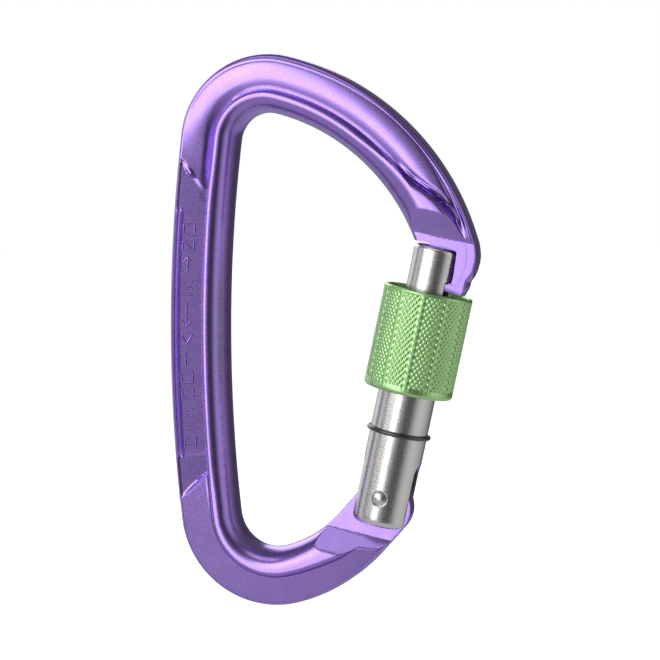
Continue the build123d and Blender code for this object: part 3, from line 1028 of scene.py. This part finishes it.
green_anodised = anodised("green_anodised_turned_aluminium", "#A6D38E", "#B2DD9C",
                          roughness=0.36, grain_mm=0.25, wave_mm=2.0)
knurl_from, knurl_to = sleeve_foot + 1.45, sleeve_rim - 0.45
lip_centre = (sleeve_radius - lip_round, sleeve_foot + lip_round)
rim_centre = (sleeve_radius - rim_round, sleeve_rim - rim_round)
sleeve_line = [(sleeve_bore, sleeve_foot + 0.3), (sleeve_bore + 0.3, sleeve_foot)]
sleeve_line += arc_points(lip_centre, lip_round, -90, 0, 8)
sleeve_line += [(sleeve_radius, knurl_from), (sleeve_radius, knurl_to)]
sleeve_line += arc_points(rim_centre, rim_round, 0, 90, 4)
sleeve_line += [(sleeve_mouth + mouth_edge, sleeve_rim), (sleeve_mouth, sleeve_rim - mouth_edge),
                (sleeve_mouth, mouth_floor), (sleeve_bore, mouth_floor - 0.8),
                (sleeve_bore, sleeve_foot + 0.3)]


def knurl_bite(radius, height):
    """Depth of the knurl, which stops short of the lip and of the rim."""
    return knurl_depth if radius > sleeve_radius - 0.01 and knurl_from < height < knurl_to else 0.0


def sleeve_step(low, high):
    """Rows stand close together on the knurled outside, where the outline runs up, not down."""
    return 0.15 if knurl_from <= low < high <= knurl_to else 4.0


sleeve = turn("screw_sleeve_grip", sleeve_line, turned_tree("turned_with_knurl", diamond_knurl),
              green_anodised, 480, knurl_pitch, sleeve_step, knurl_bite)
smooth(sleeve, 40)
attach(sleeve, "sleeve")
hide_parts("screw_sleeve")

# ------------------------------------------------------------
# Studio: a wide pale floor below the hanging carabiner, four large soft lights, and a sky that is
# white to the camera and has dark panels for the metal to reflect.
# ------------------------------------------------------------
floor_drop = 60.0
floor_size = 6000.0
low_corner, high_corner = cad_box
middle = np.array((low_corner + high_corner) / 2) / MM
floor_z = low_corner.z / MM - floor_drop
floor_corners = [(x * floor_size, y * floor_size, floor_z)
                 for x, y in ((-1, -1), (1, -1), (1, 1), (-1, 1))]
floor = make_piece("studio_floor", floor_corners, [(0, 1, 2, 3)])
floor_paint, tree = new_material("matt_white_paint")
paint = add_node(tree, "ShaderNodeBsdfPrincipled",
                 {"Base Color": linear("#FAFAFA"), "Roughness": 0.9,
                  "Emission Color": (1, 1, 1, 1), "Emission Strength": 0.8})
add_node(tree, "ShaderNodeOutputMaterial", {"Surface": paint.outputs["BSDF"]})
floor.data.materials.append(floor_paint)
floor.visible_glossy = False

# Sky: white where the camera sees it. What the metal reflects depends on the direction round the
# object: pale to both sides, dark in front to the right and behind.
world = bpy.data.worlds.new("studio_sky")
world.use_nodes = True
bpy.context.scene.world = world
tree = world.node_tree
tree.nodes.clear()
direction = add_node(tree, "ShaderNodeTexCoord").outputs["Generated"]
axes = add_node(tree, "ShaderNodeSeparateXYZ", {0: direction})
forward = add_node(tree, "ShaderNodeMath", {0: axes.outputs["Y"], 1: -1.0}, operation="MULTIPLY")
azimuth = add_node(tree, "ShaderNodeMath", {0: axes.outputs["X"], 1: forward.outputs[0]},
                   operation="ARCTAN2")
turned = add_node(tree, "ShaderNodeMapRange",
                  {"Value": azimuth.outputs[0], "From Min": -math.pi, "From Max": math.pi,
                   "To Min": 0.0, "To Max": 1.0})
level_stops = [(-180, 0.14), (-150, 0.3), (-125, 1.0), (-80, 1.0), (-66, 0.15), (-5, 0.5), (6, 0.36),
               (14, 0.1), (44, 0.07), (58, 0.5), (72, 0.95), (100, 0.9), (125, 0.25), (145, 0.1),
               (180, 0.14)]
low_stops = [(-180, 0.45), (-80, 0.6), (-50, 0.6), (-6, 0.6), (8, 0.36), (16, 0.1), (44, 0.07),
             (62, 0.5), (80, 0.7), (110, 0.6), (180, 0.45)]


def grey_ramp(stops):
    """Brightness round the object, from (azimuth, level) pairs."""
    ramp = add_node(tree, "ShaderNodeValToRGB", {"Fac": turned.outputs["Result"]})
    elements = ramp.color_ramp.elements
    while len(elements) < len(stops):
        elements.new(0.5)
    for element, (angle, level) in zip(elements, stops):
        element.position = (angle + 180) / 360
        element.color = (level, level, level, 1)
    return ramp.outputs["Color"]


def blend_by_height(lower, upper, from_z, to_z):
    """One sky colour giving way to another between two heights of the view direction."""
    share = add_node(tree, "ShaderNodeMapRange",
                     {"Value": axes.outputs["Z"], "From Min": from_z, "From Max": to_z,
                      "To Min": 0.0, "To Max": 1.0}, interpolation_type="SMOOTHSTEP")
    return add_node(tree, "ShaderNodeMix", {"Factor": share.outputs["Result"], 6: lower, 7: upper},
                    data_type="RGBA").outputs[2]


lit = blend_by_height(grey_ramp(low_stops), grey_ramp(level_stops), -0.32, -0.2)
lit = blend_by_height((0.62, 0.62, 0.62, 1), lit, -0.65, -0.4)
lit = blend_by_height(lit, (0.2, 0.2, 0.2, 1), 0.35, 0.8)
seen = add_node(tree, "ShaderNodeLightPath").outputs["Is Camera Ray"]
sky_colour = add_node(tree, "ShaderNodeMix", {"Factor": seen, 6: lit, 7: (1, 1, 1, 1)},
                      data_type="RGBA")
sky = add_node(tree, "ShaderNodeBackground", {"Color": sky_colour.outputs[2], "Strength": 1.0})
add_node(tree, "ShaderNodeOutputWorld", {"Surface": sky.outputs["Background"]})


def towards(azimuth_deg, elevation_deg):
    """Unit vector from the object, azimuth 0 towards -Y and 90 towards +X."""
    a, e = math.radians(azimuth_deg), math.radians(elevation_deg)
    return np.array([math.sin(a) * math.cos(e), -math.cos(a) * math.cos(e), math.sin(e)])


def soft_light(name, azimuth_deg, elevation_deg, distance, wide, high, power, tint="#FFFFFF"):
    """A rectangular soft light that faces the object."""
    lamp = bpy.data.lights.new(name, "AREA")
    lamp.shape = "RECTANGLE"
    lamp.size, lamp.size_y = wide * MM, high * MM
    lamp.energy = power
    lamp.color = linear(tint)[:3]
    light = bpy.data.objects.new(name, lamp)
    back = towards(azimuth_deg, elevation_deg)
    light.location = Vector((middle + back * distance) * MM)
    light.rotation_mode = "QUATERNION"
    light.rotation_quaternion = Vector(back).to_track_quat("Z", "Y")
    light.visible_camera = False
    bpy.context.collection.objects.link(light)


soft_light("front_softbox", -16.5, 8, 700, 235, 620, 1.25)
soft_light("left_softbox", -40, 18, 700, 400, 400, 1.15)
soft_light("top_softbox", -10, 62, 700, 600, 240, 0.6)
soft_light("back_softbox", -150, 28, 800, 600, 420, 1.6)

# Camera, a little to the right of square on and a little above the middle of the carabiner.
view_azimuth, view_elevation = 13.5, 3.0
view_distance = 420.0
view_width = 119.57
sensor = 36.0
outline_middle = np.array([10.3788, 0.0, -39.3977])
turn_z = math.radians(view_azimuth)
tilt = math.radians(view_elevation)
back = towards(view_azimuth, view_elevation)
right = np.array([math.cos(turn_z), math.sin(turn_z), 0])
up = np.array([-math.sin(turn_z) * math.sin(tilt), math.cos(turn_z) * math.sin(tilt), math.cos(tilt)])
aim = outline_middle + right * 0.9 + up * 0.08
camera_data = bpy.data.cameras.new("front_camera")
camera_data.sensor_width = sensor
camera_data.lens = sensor * view_distance / view_width
camera_data.clip_start, camera_data.clip_end = 0.01, 50
camera = bpy.data.objects.new("front_camera", camera_data)
camera.location = Vector((aim + back * view_distance) * MM)
camera.rotation_mode = "QUATERNION"
camera.rotation_quaternion = Vector(back).to_track_quat("Z", "Y")
bpy.context.collection.objects.link(camera)
bpy.context.scene.camera = camera
bpy.context.scene.view_settings.view_transform = "Standard"
